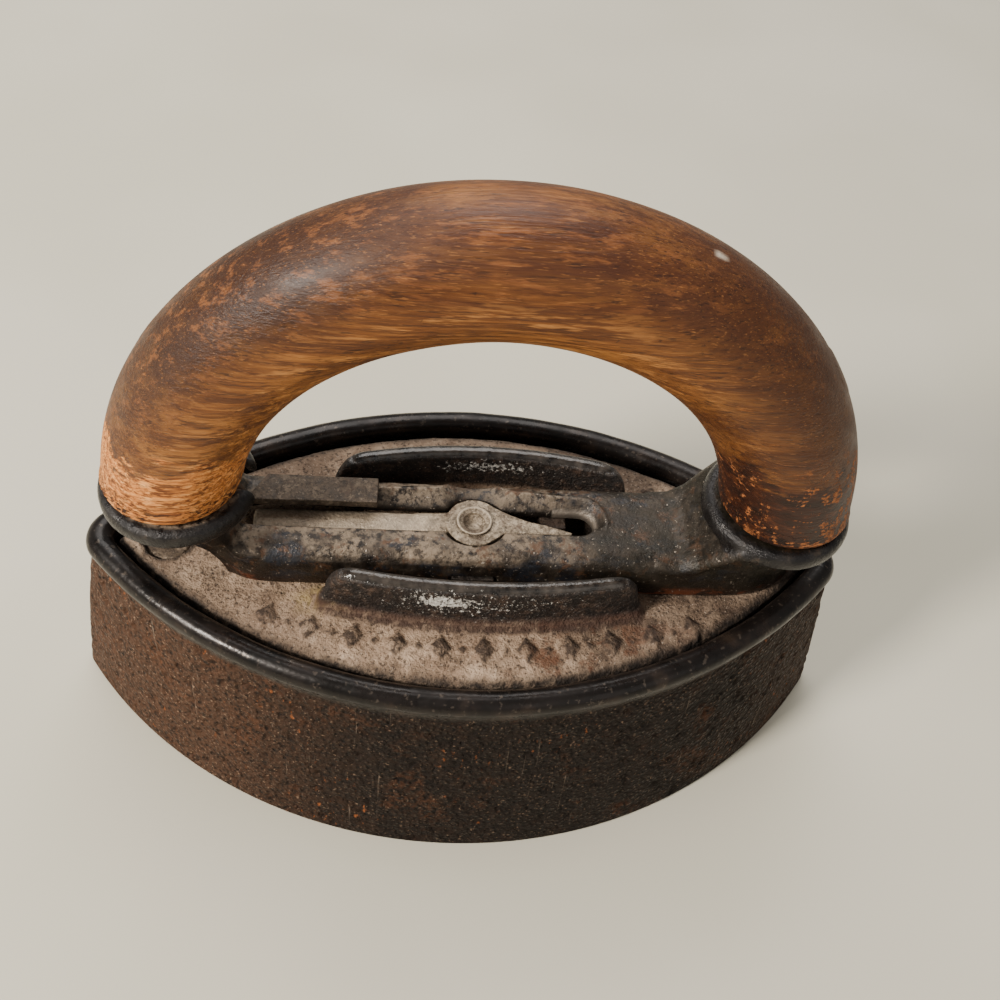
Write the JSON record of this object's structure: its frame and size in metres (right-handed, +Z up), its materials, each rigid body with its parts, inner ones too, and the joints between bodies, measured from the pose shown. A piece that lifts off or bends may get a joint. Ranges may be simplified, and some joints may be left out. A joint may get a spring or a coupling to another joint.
{
  "type": "clothes iron",
  "caption": "Double-pointed cast sad iron for pressing clothes, with a bow-shaped wood grip on a pressed steel frame that lifts off the sole once its latch lever is free.",
  "frame": {"origin": "centre of the flat ironing face, at its level", "axes": "+X along the sole from one point to the other, away from the end where the latch tail and guide plate are; +Y across the sole, to the side where the guide plate is; +Z up through the grip"},
  "size_m": [0.16, 0.084, 0.1249],
  "materials": {
    "cast_iron_side": "rough pitted dark brown casting with a smooth blackened rim",
    "filler": "matt set plaster",
    "deck_casting": "granular rusted casting, sandy brown, ribs worn black",
    "deck_screw": "dull worn steel",
    "catch": "dark rough casting",
    "pressed_frame": "worn black finish over pressed steel with brown rust and dust",
    "varnished_wood": "old satin varnish, worn to bare wood at the feet",
    "screw_steel": "dark oiled steel",
    "latch_steel": "dusty brown grey steel",
    "inner_steel": "dark steel",
    "lever_steel": "worn steel under pale dust"
  },
  "bodies": {
    "iron": {"sole_body": "cast_iron_side", "insulating_filler": "filler", "top_plate": "deck_casting", "top_plate_screw_left": "deck_screw", "top_plate_screw_right": "deck_screw", "catch_lug": "catch"},
    "handle": {"handle_frame": "pressed_frame", "wood_grip": "varnished_wood", "grip_screw_left": "screw_steel", "grip_screw_right": "screw_steel", "screw_washer_left": "screw_steel", "screw_washer_right": "screw_steel", "guide_plate": "latch_steel", "guide_rivet_outer": "latch_steel", "guide_rivet_inner": "latch_steel", "pivot_bridge": "inner_steel", "pivot_rivet": "latch_steel"},
    "lever": {"latch_lever": "lever_steel", "pivot_washer": "inner_steel"}
  },
  "joints": [
    {"name": "handle_lift", "type": "slide", "parent": "iron", "child": "handle", "axis": [0, 0, 1], "range_m": [0, 0.04]},
    {"name": "lever_swing", "type": "hinge", "parent": "handle", "child": "lever", "pos_m": [-0.0001, 0.0004, 0.0502], "axis": [0, 0, 1], "range_deg": [0, 7]}
  ]
}
